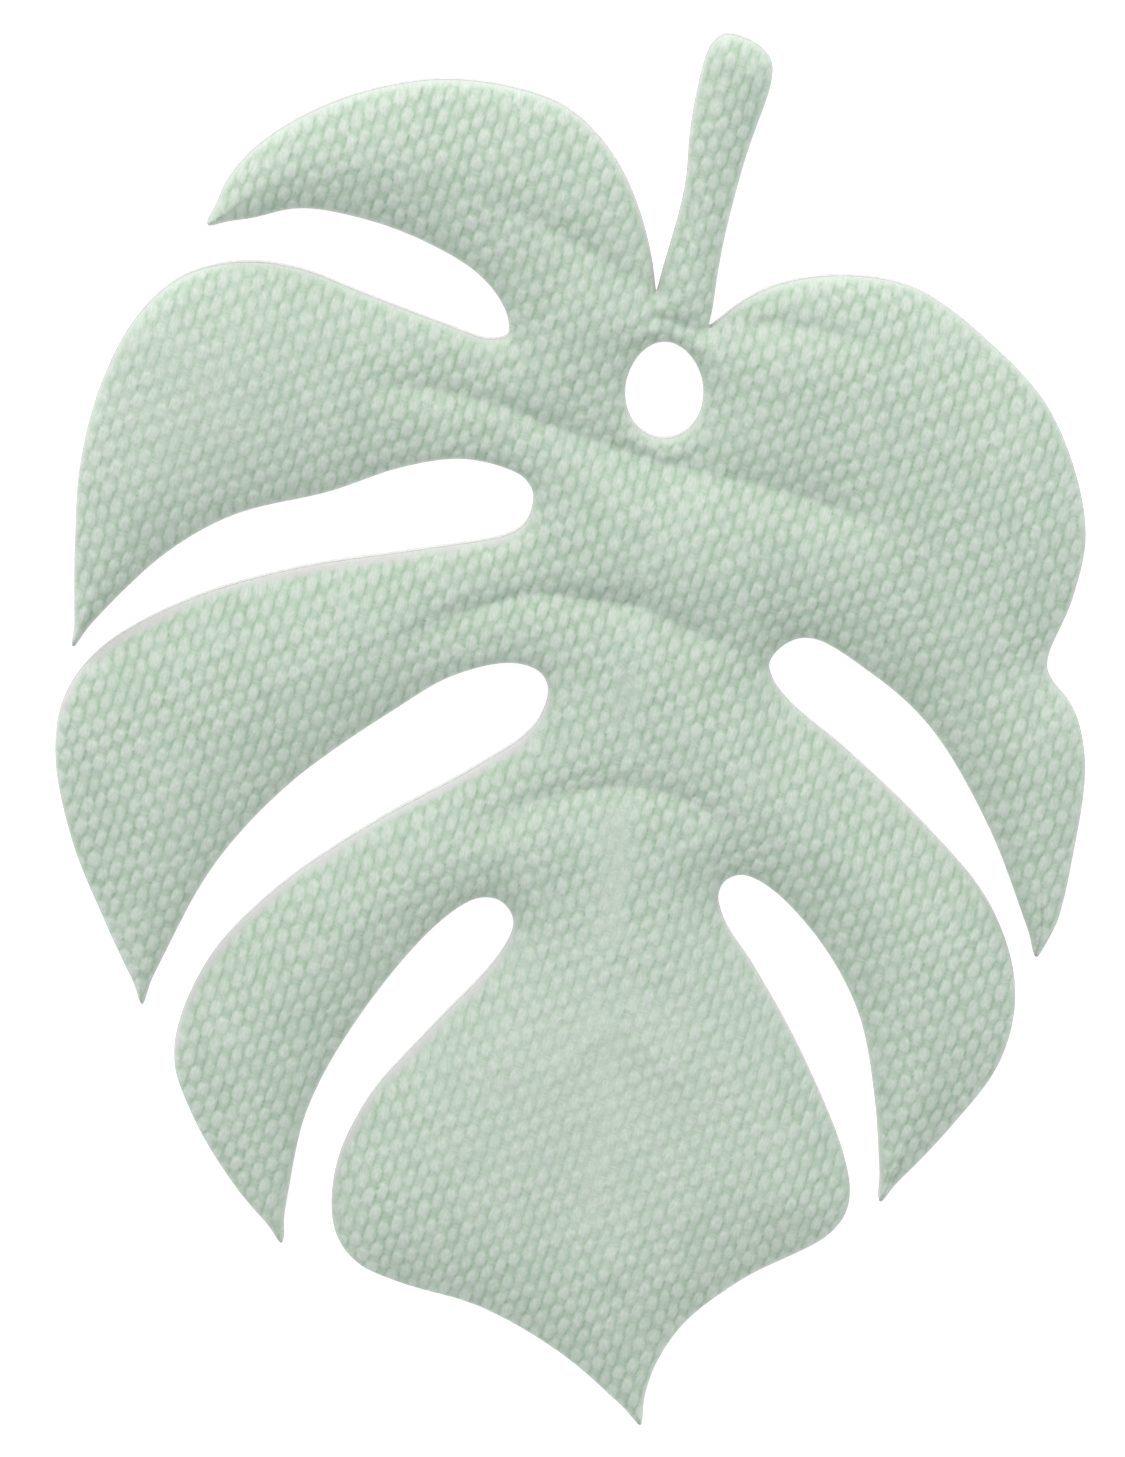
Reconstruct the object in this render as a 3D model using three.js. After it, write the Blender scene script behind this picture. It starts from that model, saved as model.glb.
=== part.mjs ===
// Padded fabric monstera leaf, lying on its back: a woven front cover over a padding, on a flat back cover.
// Millimetres. X runs across the leaf, Y along it towards the stalk, Z out of its face; Z = 0 is its back.
import * as THREE from "three";

const backThickness = 1;      // flat cloth of the back
const coverThickness = 0.8;   // woven cloth of the front
const layerGap = 0.3;         // air between two layers
const crownHeight = 3.3;      // rise of the front from its cut edge to the middle of a lobe
const crownReach = 6;         // distance from the edge over which the front rises
const paddingInset = 1.1;     // the padding stops this far inside the cut edge
const edgeSpacing = 1.7;      // between two points of the outline
const innerSpacing = 2.9;     // between two points of the crowned surface

// The cut outline, clockwise from the left foot of the stalk.
// Each row is one smooth curve from a sharp corner to the next: a lobe's edge, or a slot with its round end.
const outlineCurves = [
  // rounded top of the first left lobe, down to its tip
  [[7.4, 40.1], [6.7, 44.4], [5, 49.6], [2.4, 53.7], [-1.3, 56.7], [-10.3, 58.6], [-19.2, 57],
    [-26.3, 53.2], [-29.4, 49.8], [-30.9, 46.2]],
  // first left slot, then the rounded shoulder of the second lobe
  [[-30.9, 46.2], [-27.4, 46.6], [-23.2, 47.5], [-17.1, 46.4], [-11.3, 44], [-7.4, 41.3], [-5.4, 38.1],
    [-5.5, 36.6], [-6.6, 35.9], [-11.2, 37.4], [-18.1, 40.1], [-23.2, 42.1], [-28.3, 42.7],
    [-33.2, 41.5], [-37.1, 38.1], [-40.3, 32.3], [-42.3, 25.2], [-42.9, 18.1], [-43.1, 9]],
  // second left slot and the third lobe
  [[-43.1, 9], [-39.5, 13], [-34.5, 17.5], [-28.9, 20.6], [-20.8, 22.6], [-14.7, 24.7], [-9.5, 25.5],
    [-5.7, 24.7], [-3.5, 23.4], [-3.2, 21.7], [-3.8, 19.7], [-5.2, 18.7], [-13, 17.3], [-23.4, 15.7],
    [-32.9, 12.9], [-40.8, 8.4], [-44, 4.2], [-44.9, -0.7], [-43.6, -8.5], [-40.9, -15.8],
    [-37.6, -23.4]],
  // third left slot and the fourth lobe
  [[-37.6, -23.4], [-35.7, -19.3], [-31.1, -10.9], [-24.5, -3.6], [-15, 3.3], [-10.1, 6.2], [-4.8, 7.3],
    [-2.4, 6.3], [-1.9, 4.5], [-3.2, 1.4], [-7.9, -2], [-17.4, -7.4], [-26.1, -13.6], [-31.9, -20],
    [-34.9, -28.1], [-33.4, -33.7], [-29.8, -40.2], [-25.6, -45.5]],
  // fourth left slot and the end lobe's left side
  [[-25.6, -45.5], [-25, -41.5], [-23.1, -33.2], [-18.2, -24.3], [-11.4, -16.1], [-7.9, -13.9],
    [-5.9, -14.3], [-4.9, -16.3], [-6.2, -19.3], [-12.2, -26], [-17.7, -32.4], [-20.7, -38.9],
    [-20.9, -44.4], [-19, -47.5], [-15.2, -49.4], [-8, -51.7], [-0.8, -56.1], [6.2, -62.6]],
  // end lobe's right side and the lower right slot
  [[6.2, -62.6], [7.3, -57.9], [10, -53.4], [15.2, -49.2], [23.1, -44.8], [24.7, -42], [24.2, -37.9],
    [20.3, -28.2], [16.3, -20.7], [13.3, -15.7], [13.1, -12.9], [14.7, -11.8], [17.2, -12.8],
    [21.9, -17.9], [25.3, -24.4], [26.9, -32.7], [27.5, -41.7]],
  // lower right lobe and the upper right slot
  [[27.5, -41.7], [33.4, -35.2], [37.9, -28.8], [39.1, -22.1], [36.7, -14.6], [30.9, -7.4],
    [24.1, -0.7], [18.6, 4.2], [17.2, 7], [18.4, 8.8], [20.7, 9.6], [26, 6.5], [31.2, 1.7],
    [36.5, -7.4], [40.9, -19.1]],
  // upper right lobe, with the shallow notch in its outer edge
  [[40.9, -19.1], [42.4, -16.9], [44, -9.9], [44.9, -1.6], [43.8, 3.1], [41.7, 5.9], [41.4, 7.4],
    [43.6, 13.2], [44.6, 19.4], [41.6, 29.2], [36.4, 35.3], [29.3, 40.5], [22.3, 41.5], [16.5, 40.2],
    [12, 37.1]],
  // stalk with its wider rounded end
  [[12, 37.1], [13.1, 44.3], [15, 51.9], [17.2, 58.7], [17.1, 60.4], [15.6, 61.8], [12.9, 62.5],
    [11.9, 61.4], [10.8, 57.5], [10.2, 53.8], [9.8, 49.2], [7.4, 40.1]],
];

// Egg-shaped hole below the stalk, narrower towards it.
const hole = { x: 8.1, y: 31.5, halfWidth: 3.4, halfHeight: 4.35, taper: 0.08 };

// Pressed veins: one curve down the middle, the others from near it out along the lobes, and a crease
// across the foot of the stalk. Each takes away a share of the crown, within its reach to either side.
const veins = [
  { share: 0.45, reach: 1.7, through: [[5.6, 41.3], [2.5, 43.5], [-3.4, 47], [-9.8, 49.8]] },
  { share: 0.61, reach: 1.9, through: [[6.8, 26.2], [-0.9, 29], [-10.3, 30.8], [-20.2, 31.9]] },
  { share: 0.61, reach: 1.9, through: [[6, 13.6], [1.7, 14.9], [-2.6, 14.7], [-9.9, 12.7], [-17.3, 9.4]] },
  { share: 0.48, reach: 1.7, through: [[5.2, -3.2], [-0.9, -4.1], [-7, -6.8], [-12.2, -10.4]] },
  { share: 0.15, reach: 1.5, through: [[4.4, -22.2], [0.9, -25.9], [-3.5, -30.5]] },
  { share: 0.3, reach: 1.5, through: [[13.5, 37.2], [17.1, 37.2], [22.2, 36.3], [27.8, 35]] },
  { share: 0.58, reach: 1.9, through: [[6.8, 25.8], [13.7, 24.4], [21.5, 21.8], [28.4, 18.7]] },
  { share: 0.58, reach: 1.8, through: [[6, 13.8], [11.2, 11.1], [16, 8.3]] },
  { share: 0.42, reach: 1.7, through: [[5.2, -3.2], [10.4, -4.5], [14.3, -6.8]] },
  { share: 0.15, reach: 1.5, through: [[4.4, -22.2], [7.9, -25.9], [11.4, -29.6]] },
  { share: 0.21, reach: 1.4, through: [[6.8, 25.3], [6, 15.6], [5, 4.9], [4.3, -5.9], [3.6, -17.7]] },
  { share: 0.18, reach: 1.2, through: [[7.7, 39], [9.8, 38.3], [11.7, 37.5]] },
];

// Points along a smooth curve, about `spacing` apart, first and last included.
function alongCurve(nodes, spacing) {
  const corners = nodes.map(([x, y]) => new THREE.Vector3(x, y, 0));
  const curve = new THREE.CatmullRomCurve3(corners, false, "centripetal");
  const steps = Math.max(1, Math.round(curve.getLength() / spacing));
  return curve.getSpacedPoints(steps).map((p) => new THREE.Vector2(p.x, p.y));
}

// The outline as one closed loop: each curve gives up its last point to the next one's first.
function outlineLoop() {
  return outlineCurves.flatMap((nodes) => alongCurve(nodes, edgeSpacing).slice(0, -1));
}

// An ellipse whose half-width shrinks with height.
function holeLoop() {
  const count = Math.round((Math.PI * (hole.halfWidth + hole.halfHeight)) / edgeSpacing);
  return Array.from({ length: count }, (_, i) => {
    const angle = (2 * Math.PI * i) / count;
    const wide = hole.halfWidth * (1 - hole.taper * Math.sin(angle));
    return new THREE.Vector2(hole.x + wide * Math.cos(angle), hole.y + hole.halfHeight * Math.sin(angle));
  });
}

// Distance from a point to the segment a-b.
function toSegment(p, a, b) {
  const along = b.clone().sub(a);
  const share = THREE.MathUtils.clamp(p.clone().sub(a).dot(along) / along.lengthSq(), 0, 1);
  return p.distanceTo(a.clone().addScaledVector(along, share));
}

function toLine(p, line) {
  let least = Infinity;
  for (let i = 1; i < line.length; i++) least = Math.min(least, toSegment(p, line[i - 1], line[i]));
  return least;
}

function toLoops(p, loops) {
  return Math.min(...loops.map((loop) => toLine(p, [...loop, loop[0]])));
}

// Even-odd test against all loops at once, so a point in the hole counts as outside.
function inside(p, loops) {
  let within = false;
  for (const loop of loops) {
    loop.forEach((a, i) => {
      const b = loop[(i + 1) % loop.length];
      const crosses = a.y > p.y !== b.y > p.y;
      if (crosses && p.x < a.x + ((b.x - a.x) * (p.y - a.y)) / (b.y - a.y)) within = !within;
    });
  }
  return within;
}

const cutLoops = [outlineLoop(), holeLoop()];
const veinLines = veins.map(({ share, reach, through }) => ({ share, reach, line: alongCurve(through, 1) }));

// Height of the front's underside above the cut edge: a quarter sine wave from the edge inwards,
// less a bell-shaped groove along each vein, of which only the deepest counts.
function crown(p) {
  const fromEdge = toLoops(p, cutLoops);
  const rise = crownHeight * Math.sin((Math.PI / 2) * Math.min(1, fromEdge / crownReach));
  const taken = veinLines.map(
    ({ share, reach, line }) => share * Math.exp(-((toLine(p, line) / reach) ** 2)),
  );
  return rise * (1 - Math.max(...taken));
}

// The loops moved inwards: each point steps along its normal, or in a fan round a corner that cuts in,
// and is kept where it really is that far inside.
function insetLoops(loops, distance) {
  return loops.map((loop) => {
    const side = materialOnLeft(loop, loops) ? 1 : -1;
    const moved = loop.flatMap((p, i) => {
      const arriving = p.clone().sub(loop.at(i - 1)).angle();
      const leaving = loop[(i + 1) % loop.length].clone().sub(p).angle();
      const turn = THREE.MathUtils.euclideanModulo(leaving - arriving + Math.PI, 2 * Math.PI) - Math.PI;
      const steps = turn * side < 0 ? Math.ceil(Math.abs(turn) / 0.5) : 1;
      const shares = steps === 1 ? [0.5] : Array.from({ length: steps + 1 }, (_, k) => k / steps);
      return shares.map((share) => {
        const normal = arriving + turn * share + (side * Math.PI) / 2;
        return new THREE.Vector2(p.x + distance * Math.cos(normal), p.y + distance * Math.sin(normal));
      });
    });
    const kept = moved.filter((p) => inside(p, loops) && toLoops(p, loops) > distance * 0.97);
    const spaced = [kept[0]];
    for (const p of kept) {
      const nearest = Math.min(p.distanceTo(spaced[0]), p.distanceTo(spaced.at(-1)));
      if (nearest > edgeSpacing * 0.4) spaced.push(p);
    }
    return spaced;
  });
}

// The first loop runs round the leaf and the others round holes in it.
function materialOnLeft(loop, loops) {
  return THREE.ShapeUtils.area(loop) > 0 === (loop === loops[0]);
}

// Points well inside the loops: along each vein and its two flanks, then a lattice in the room left.
function innerPoints(loops) {
  const points = [];
  const add = (p, room) => {
    if (!inside(p, loops) || toLoops(p, loops) < edgeSpacing * 0.8) return;
    if (points.every((q) => q.distanceTo(p) > room)) points.push(p);
  };
  for (const { reach, through } of veins) {
    const line = alongCurve(through, innerSpacing * 0.7);
    line.forEach((p) => add(p, innerSpacing * 0.55));
    line.slice(1).forEach((p, i) => {
      const run = p.clone().sub(line[i]).setLength(reach * 1.2);
      const across = new THREE.Vector2(-run.y, run.x);
      add(p.clone().add(across), innerSpacing * 0.5);
      add(p.clone().sub(across), innerSpacing * 0.5);
    });
  }
  const box = new THREE.Box2().setFromPoints(loops[0]);
  const rowHeight = (innerSpacing * Math.sqrt(3)) / 2;
  for (let row = 0; box.min.y + row * rowHeight < box.max.y; row++) {
    for (let x = box.min.x + ((row % 2) * innerSpacing) / 2; x < box.max.x; x += innerSpacing) {
      add(new THREE.Vector2(x, box.min.y + row * rowHeight), innerSpacing * 0.72);
    }
  }
  return points;
}

// Circle through three points, for the Delaunay test below.
function circumcircle(a, b, c) {
  const [bx, by, cx, cy] = [b.x - a.x, b.y - a.y, c.x - a.x, c.y - a.y];
  const twice = 2 * (bx * cy - by * cx);
  const [bb, cc] = [bx * bx + by * by, cx * cx + cy * cy];
  const centre = new THREE.Vector2((cy * bb - by * cc) / twice, (bx * cc - cx * bb) / twice);
  return { x: a.x + centre.x, y: a.y + centre.y, radiusSq: centre.lengthSq() };
}

// Delaunay triangles of a set of points, by adding one point at a time (Bowyer and Watson).
function delaunay(points) {
  const far = 1000;
  const all = [...points];
  for (const [x, y] of [[-far, -far], [far, -far], [0, far]]) all.push(new THREE.Vector2(x, y));
  const make = (corners) => ({ corners, circle: circumcircle(...corners.map((i) => all[i])) });
  let triangles = [make([points.length, points.length + 1, points.length + 2])];
  points.forEach((p, index) => {
    const edges = new Map();
    const kept = [];
    for (const triangle of triangles) {
      const { x, y, radiusSq } = triangle.circle;
      if ((p.x - x) ** 2 + (p.y - y) ** 2 >= radiusSq) {
        kept.push(triangle);
        continue;
      }
      const [i, j, k] = triangle.corners;
      for (const [from, to] of [[i, j], [j, k], [k, i]]) {
        if (!edges.delete(to + "," + from)) edges.set(from + "," + to, [from, to]);
      }
    }
    triangles = kept.concat([...edges.values()].map(([from, to]) => make([from, to, index])));
  });
  const kept = triangles.map(({ corners }) => corners);
  return kept.filter((corners) => corners.every((i) => i < points.length));
}

// A fine sheet of triangles on the loops' own points and further ones inside them.
function fillFinely(loops, within) {
  const points = [...loops.flat(), ...within];
  const faces = delaunay(points).filter(([i, j, k]) => {
    const middle = points[i].clone().add(points[j]).add(points[k]).divideScalar(3);
    return inside(middle, loops);
  });
  return { points, faces };
}

// The fewest triangles that fill the loops, for a flat face.
function fillFlat(loops) {
  const points = loops.flat();
  const faces = THREE.ShapeUtils.triangulateShape(loops[0], loops.slice(1));
  return { points, faces };
}

// A closed solid between a lower and an upper surface, joined by a wall along every loop.
function layer(loops, lower, lowerHeight, upper, upperHeight) {
  const positions = [];
  const triangles = [];
  const addSurface = ({ points, faces }, height, faceUp) => {
    const first = positions.length / 3;
    for (const p of points) positions.push(p.x, p.y, height(p));
    for (const [i, j, k] of faces) {
      const counterclockwise = THREE.ShapeUtils.area([points[i], points[j], points[k]]) > 0;
      triangles.push(...(counterclockwise === faceUp ? [i, j, k] : [i, k, j]).map((index) => index + first));
    }
    return first;
  };
  const bottom = addSurface(lower, lowerHeight, false);
  const top = addSurface(upper, upperHeight, true);
  let start = 0;
  loops.forEach((loop) => {
    const forwards = materialOnLeft(loop, loops);
    loop.forEach((_, i) => {
      const here = start + (forwards ? i : (i + 1) % loop.length);
      const next = start + (forwards ? (i + 1) % loop.length : i);
      triangles.push(bottom + here, bottom + next, top + next, bottom + here, top + next, top + here);
    });
    start += loop.length;
  });
  const geometry = new THREE.BufferGeometry();
  geometry.setAttribute("position", new THREE.Float32BufferAttribute(positions, 3));
  geometry.setIndex(triangles);
  geometry.computeVertexNormals();
  return geometry;
}

const paddingLoops = insetLoops(cutLoops, paddingInset);
const crownPoints = innerPoints(paddingLoops);

// Flat cloth that closes the leaf from behind.
function backCover() {
  const flat = fillFlat(cutLoops);
  const geometry = layer(cutLoops, flat, () => 0, flat, () => backThickness);
  return namedMesh("back_cover", geometry, { color: 0xd3cfd2, roughness: 0.95 });
}

// Soft filling: flat below, and crowned above like the cloth over it.
function padding() {
  const floor = backThickness + layerGap;
  const roof = (p) => backThickness + crown(p);
  const fine = fillFinely(paddingLoops, crownPoints);
  const geometry = layer(paddingLoops, fillFlat(paddingLoops), () => floor, fine, roof);
  return namedMesh("padding", geometry, { color: 0xf1efe9, roughness: 1 });
}

// Woven cloth of even thickness, open below, whose cut edge lies along the back cover's.
function frontCover() {
  const sheet = fillFinely(cutLoops, [...paddingLoops.flat(), ...crownPoints]);
  const under = (p) => backThickness + layerGap + crown(p);
  const geometry = layer(cutLoops, sheet, under, sheet, (p) => under(p) + coverThickness);
  return namedMesh("front_cover", geometry, { color: 0xbccbbd, roughness: 0.9 });
}

function namedMesh(name, geometry, look) {
  const material = new THREE.MeshStandardMaterial({ metalness: 0, ...look });
  const mesh = new THREE.Mesh(geometry, material);
  mesh.name = name;
  return mesh;
}

const leaf = new THREE.Group();
leaf.add(backCover(), padding(), frontCover());

export default leaf;
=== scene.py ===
import math
import bpy
import numpy as np
from mathutils import Matrix, Vector
from mathutils.geometry import delaunay_2d_cdt


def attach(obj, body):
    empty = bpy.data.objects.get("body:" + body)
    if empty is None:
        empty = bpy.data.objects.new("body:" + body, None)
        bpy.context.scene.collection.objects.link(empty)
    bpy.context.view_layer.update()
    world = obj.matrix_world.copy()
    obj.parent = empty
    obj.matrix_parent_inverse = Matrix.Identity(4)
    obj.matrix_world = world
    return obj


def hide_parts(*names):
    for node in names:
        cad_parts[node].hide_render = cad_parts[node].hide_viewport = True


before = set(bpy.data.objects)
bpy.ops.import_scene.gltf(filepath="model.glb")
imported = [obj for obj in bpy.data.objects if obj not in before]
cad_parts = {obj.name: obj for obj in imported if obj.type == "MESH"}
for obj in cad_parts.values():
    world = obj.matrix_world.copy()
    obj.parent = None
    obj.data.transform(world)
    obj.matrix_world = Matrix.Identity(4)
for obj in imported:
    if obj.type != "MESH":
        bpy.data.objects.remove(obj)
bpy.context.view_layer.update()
mm = 0.001
print("leaf: frame loaded")

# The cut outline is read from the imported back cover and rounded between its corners.
outlineLook = {
    "roundSteps": 6,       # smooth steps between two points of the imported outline
    "cornerTurn": 62,      # degrees; a sharper turn than this stays a corner
    "tipTurn": 100,        # degrees; a sharper turn to the left than this is the tip of a lobe
    "deeperNotch": 0.55,   # mm that a sharp notch is drawn in
    "longerTip": 0.25,     # mm that a lobe's tip is drawn out
    "bluntTip": 0.2,       # mm, half the width of its cut-off end
    "blunting": 5,         # times that each point is averaged with its neighbours
    "flatWithin": 0.02,    # mm; faces this close to the lowest point are the flat underside
}


def nodeTriangles(name):                       # a node's places in millimetres, with doubles merged
    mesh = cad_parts[name].data
    places = np.empty(len(mesh.vertices) * 3, np.float32)
    mesh.vertices.foreach_get("co", places)
    corners = np.empty(len(mesh.loops), np.int32)
    mesh.loops.foreach_get("vertex_index", corners)
    places = places.reshape(-1, 3) / mm
    keys, back = np.unique(np.round(places, 2), axis=0, return_inverse=True)
    return keys, back.reshape(-1)[corners].reshape(-1, 3)


def openEdges(triangles):                      # directed edges that no other face shares
    edges = np.concatenate([triangles[:, [0, 1]], triangles[:, [1, 2]], triangles[:, [2, 0]]])
    size = edges.max() + 1
    return edges[~np.isin(edges[:, 0] * size + edges[:, 1], edges[:, 1] * size + edges[:, 0])]


def followEdges(edges):                        # the open edges, one after another, as closed loops
    following = dict(edges.tolist())
    loops = []
    while following:
        start = next(iter(following))
        loop = [start]
        while following[loop[-1]] != start:
            loop.append(following.pop(loop[-1]))
        following.pop(loop[-1])
        loops.append(loop)
    return sorted(loops, key=len, reverse=True)


def flatOutline(name):                         # the loops round a node's flat underside, as x and y
    places, triangles = nodeTriangles(name)
    under = (places[triangles][:, :, 2] < places[:, 2].min() + outlineLook["flatWithin"]).all(1)
    loops = followEdges(openEdges(triangles[under][:, ::-1].astype(np.int64)))
    return [places[loop][:, :2].astype(float) for loop in loops]


def turnAt(points):                            # degrees that the outline turns left at each point
    arriving, leaving = points - np.roll(points, 1, 0), np.roll(points, -1, 0) - points
    cross = arriving[:, 0] * leaving[:, 1] - arriving[:, 1] * leaving[:, 0]
    return np.degrees(np.arctan2(cross, (arriving * leaving).sum(1)))


def unit(runs):                                # the same directions, each of length 1
    return runs / np.linalg.norm(runs, axis=1)[:, None]


# At the given corners, the direction halfway between the one that arrives and the one that leaves turned
# about: out of the tip of a lobe, or into a notch.
def pointingAt(points, corners):
    arriving = points[corners] - points[corners - 1]
    leaving = points[(corners + 1) % len(points)] - points[corners]
    return unit(unit(arriving) - unit(leaving))


# Each sharp notch is drawn in. Each tip of a lobe is drawn out a little and cut off square: it gives way
# to two points beside each other.
def bluntTips(points):
    turn, made = turnAt(points), points.copy()
    notches = np.flatnonzero(turn < -outlineLook["cornerTurn"])
    tips = np.flatnonzero(turn > outlineLook["tipTurn"])
    made[notches] += pointingAt(points, notches) * outlineLook["deeperNotch"]
    pointing = pointingAt(points, tips)
    beside = np.column_stack([-pointing[:, 1], pointing[:, 0]]) * outlineLook["bluntTip"]
    ends = points[tips] + pointing * outlineLook["longerTip"]
    made[tips] = ends - beside
    return np.insert(made, tips + 1, ends + beside, axis=0)


# Between two points runs a cubic whose slope at each is half the way from the point before to the point
# after; at a corner each side keeps its own straight slope.
def roundedLoop(points):
    steps = outlineLook["roundSteps"]
    points = bluntTips(points)
    before, after = np.roll(points, 1, 0), np.roll(points, -1, 0)
    arriving, leaving = points - before, after - points
    corner = (np.abs(turnAt(points)) > outlineLook["cornerTurn"])[:, None]
    slopeOut = np.where(corner, leaving, (after - before) / 2)
    slopeIn = np.roll(np.where(corner, arriving, (after - before) / 2), -1, 0)
    s = (np.arange(steps) / steps)[None, :, None]
    curve = (
        (2 * s**3 - 3 * s**2 + 1) * points[:, None]
        + (s**3 - 2 * s**2 + s) * slopeOut[:, None]
        + (3 * s**2 - 2 * s**3) * after[:, None]
        + (s**3 - s**2) * slopeIn[:, None]
    )
    curve = curve.reshape(-1, 2)
    for _ in range(outlineLook["blunting"]):
        curve = (np.roll(curve, 1, 0) + 2 * curve + np.roll(curve, -1, 0)) / 4
    return curve


cutLoops = [roundedLoop(loop) for loop in flatOutline("back_cover")]
print("leaf: outline of", sum(map(len, cutLoops)), "points")

# All heights are worked out on the weave's own grid.
weave = {
    "warpPitch": 1.0,       # mm from one warp thread to the next
    "weftPitch": 1.04,      # mm from one weft thread to the next
    "warpLean": 17.1,       # degrees that the warp leans to the right of the leaf's length
    "weftDip": 23.9,        # degrees that the weft dips to the right
    "samples": 6,           # grid steps to each thread
    "warpRise": 0.08,       # mm that a warp thread rises and sinks as it passes over and under
    "weftRise": 0.04,
    "flatTop": 1.5,         # how level a thread runs where it is up or down
    "longer": 0.42,         # how much longer a warp thread stays up than down
    "warpThick": 0.13,      # mm from a thread's crest to its flank
    "weftThick": 0.12,
    "warpLift": 0.05,       # mm that the warp stands above the weft
    "warpWidth": 0.46,      # half a thread's width, in pitches
    "weftWidth": 0.52,
    "wander": 0.23,         # pitches that a thread strays sideways
    "slub": 0.22,           # share by which a thread's thickness changes
    "uneven": 0.45,         # share by which single crossings stand higher or lower
    "merge": 0.025,         # mm over which two crossing threads run into each other
    "toneMerge": 0.06,      # mm over which the colour of one gives way to that of the other
    "gapFloor": 0.3,        # share of a weft thread's thickness where a gap counts as deepest, with the most painted shade
    "edgeFlat": 0.55,       # mm from the cut edge over which the relief is pressed flat
    "margin": 1.5,          # threads of grid beyond the outline
}


def weaveAxes():
    lean, dip = math.radians(weave["warpLean"]), math.radians(weave["weftDip"])
    across = np.array([math.cos(dip), -math.sin(dip)]) * weave["warpPitch"]
    along = np.array([math.sin(lean), math.cos(lean)]) * weave["weftPitch"]
    return np.stack([across, along])


axes = weaveAxes()
toThreads = np.linalg.inv(axes)
allOutline = np.concatenate(cutLoops)
threadLow = np.floor((allOutline @ toThreads).min(0) - weave["margin"])
threadHigh = np.ceil((allOutline @ toThreads).max(0) + weave["margin"])
gridShape = tuple(((threadHigh - threadLow) * weave["samples"]).astype(int) + 1)
steps = [np.arange(n) / weave["samples"] for n in gridShape]
threads = np.stack(np.meshgrid(threadLow[0] + steps[0], threadLow[1] + steps[1], indexing="ij"), -1)
plan = threads @ axes
cell = weave["weftPitch"] / weave["samples"]


# A point is inside where a walk along its grid line has crossed the outline an odd number of times. Each
# stretch of outline is cut into parts, so that none of them crosses two lines.
def insideGrid(loops):
    parts = 4
    crossings = np.zeros(gridShape, np.int32)
    for loop in loops:
        share = np.arange(parts)[None, :, None] / parts
        fine = (loop[:, None] * (1 - share) + np.roll(loop, -1, 0)[:, None] * share).reshape(-1, 2)
        start = (fine @ toThreads - threadLow) * weave["samples"]
        end = np.roll(start, -1, 0)
        line = np.maximum(np.floor(start[:, 1]), np.floor(end[:, 1]))
        hit = np.floor(start[:, 1]) != np.floor(end[:, 1])
        start, end, line = start[hit], end[hit], line[hit]
        place = start[:, 0] + (end[:, 0] - start[:, 0]) * (line - start[:, 1]) / (end[:, 1] - start[:, 1])
        np.add.at(crossings, (np.ceil(place).astype(int), line.astype(int)), 1)
    return np.cumsum(crossings, 0) % 2 == 1


# Distance to the nearest stretch of any loop, and the nearest point on it: first the nearest outline
# point by squared distance, then the two stretches that meet there.
def nearestOnLoops(points, loops):
    batch = 4096                                # points compared at a time
    ends = np.concatenate(loops)
    before = np.concatenate([np.roll(loop, 1, 0) for loop in loops])
    after = np.concatenate([np.roll(loop, -1, 0) for loop in loops])
    table = np.concatenate([-2 * ends, (ends**2).sum(1)[:, None]], 1).T.astype(np.float32)
    padded = np.concatenate([points, np.ones((len(points), 1))], 1).astype(np.float32)
    parts = np.array_split(padded, len(points) // batch + 1)
    pick = np.concatenate([(part @ table).argmin(1) for part in parts])
    best, foot = np.full(len(points), np.inf), np.zeros((len(points), 2))
    for other in (before, after):
        a, run = ends[pick], other[pick] - ends[pick]
        share = np.clip(((points - a) * run).sum(1) / (run**2).sum(1), 0, 1)[:, None]
        q = a + share * run
        d = np.linalg.norm(points - q, axis=1)
        foot[d < best] = q[d < best]
        best = np.minimum(best, d)
    return best, foot


within = insideGrid(cutLoops)
near = within.copy()                            # the inside and a rim of two cells round it
for shift in ((2, 0), (-2, 0), (0, 2), (0, -2), (1, 1), (-1, -1), (1, -1), (-1, 1)):
    near |= np.roll(within, shift, (0, 1))
fromEdge = np.full(gridShape, -9.0)             # mm inside the cut edge, negative outside it
footOnEdge = plan.copy()
reach, feet = nearestOnLoops(plan[near], cutLoops)
fromEdge[near] = np.where(within[near], reach, -reach)
footOnEdge[near] = feet
print("leaf: grid of", gridShape, "with", int(within.sum()), "points on the leaf")


def outwardOnGrid():                            # from each grid point straight towards the outside
    away = (footOnEdge - plan) * np.sign(fromEdge)[..., None]
    return away / np.maximum(np.abs(fromEdge), 1e-3)[..., None]


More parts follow.
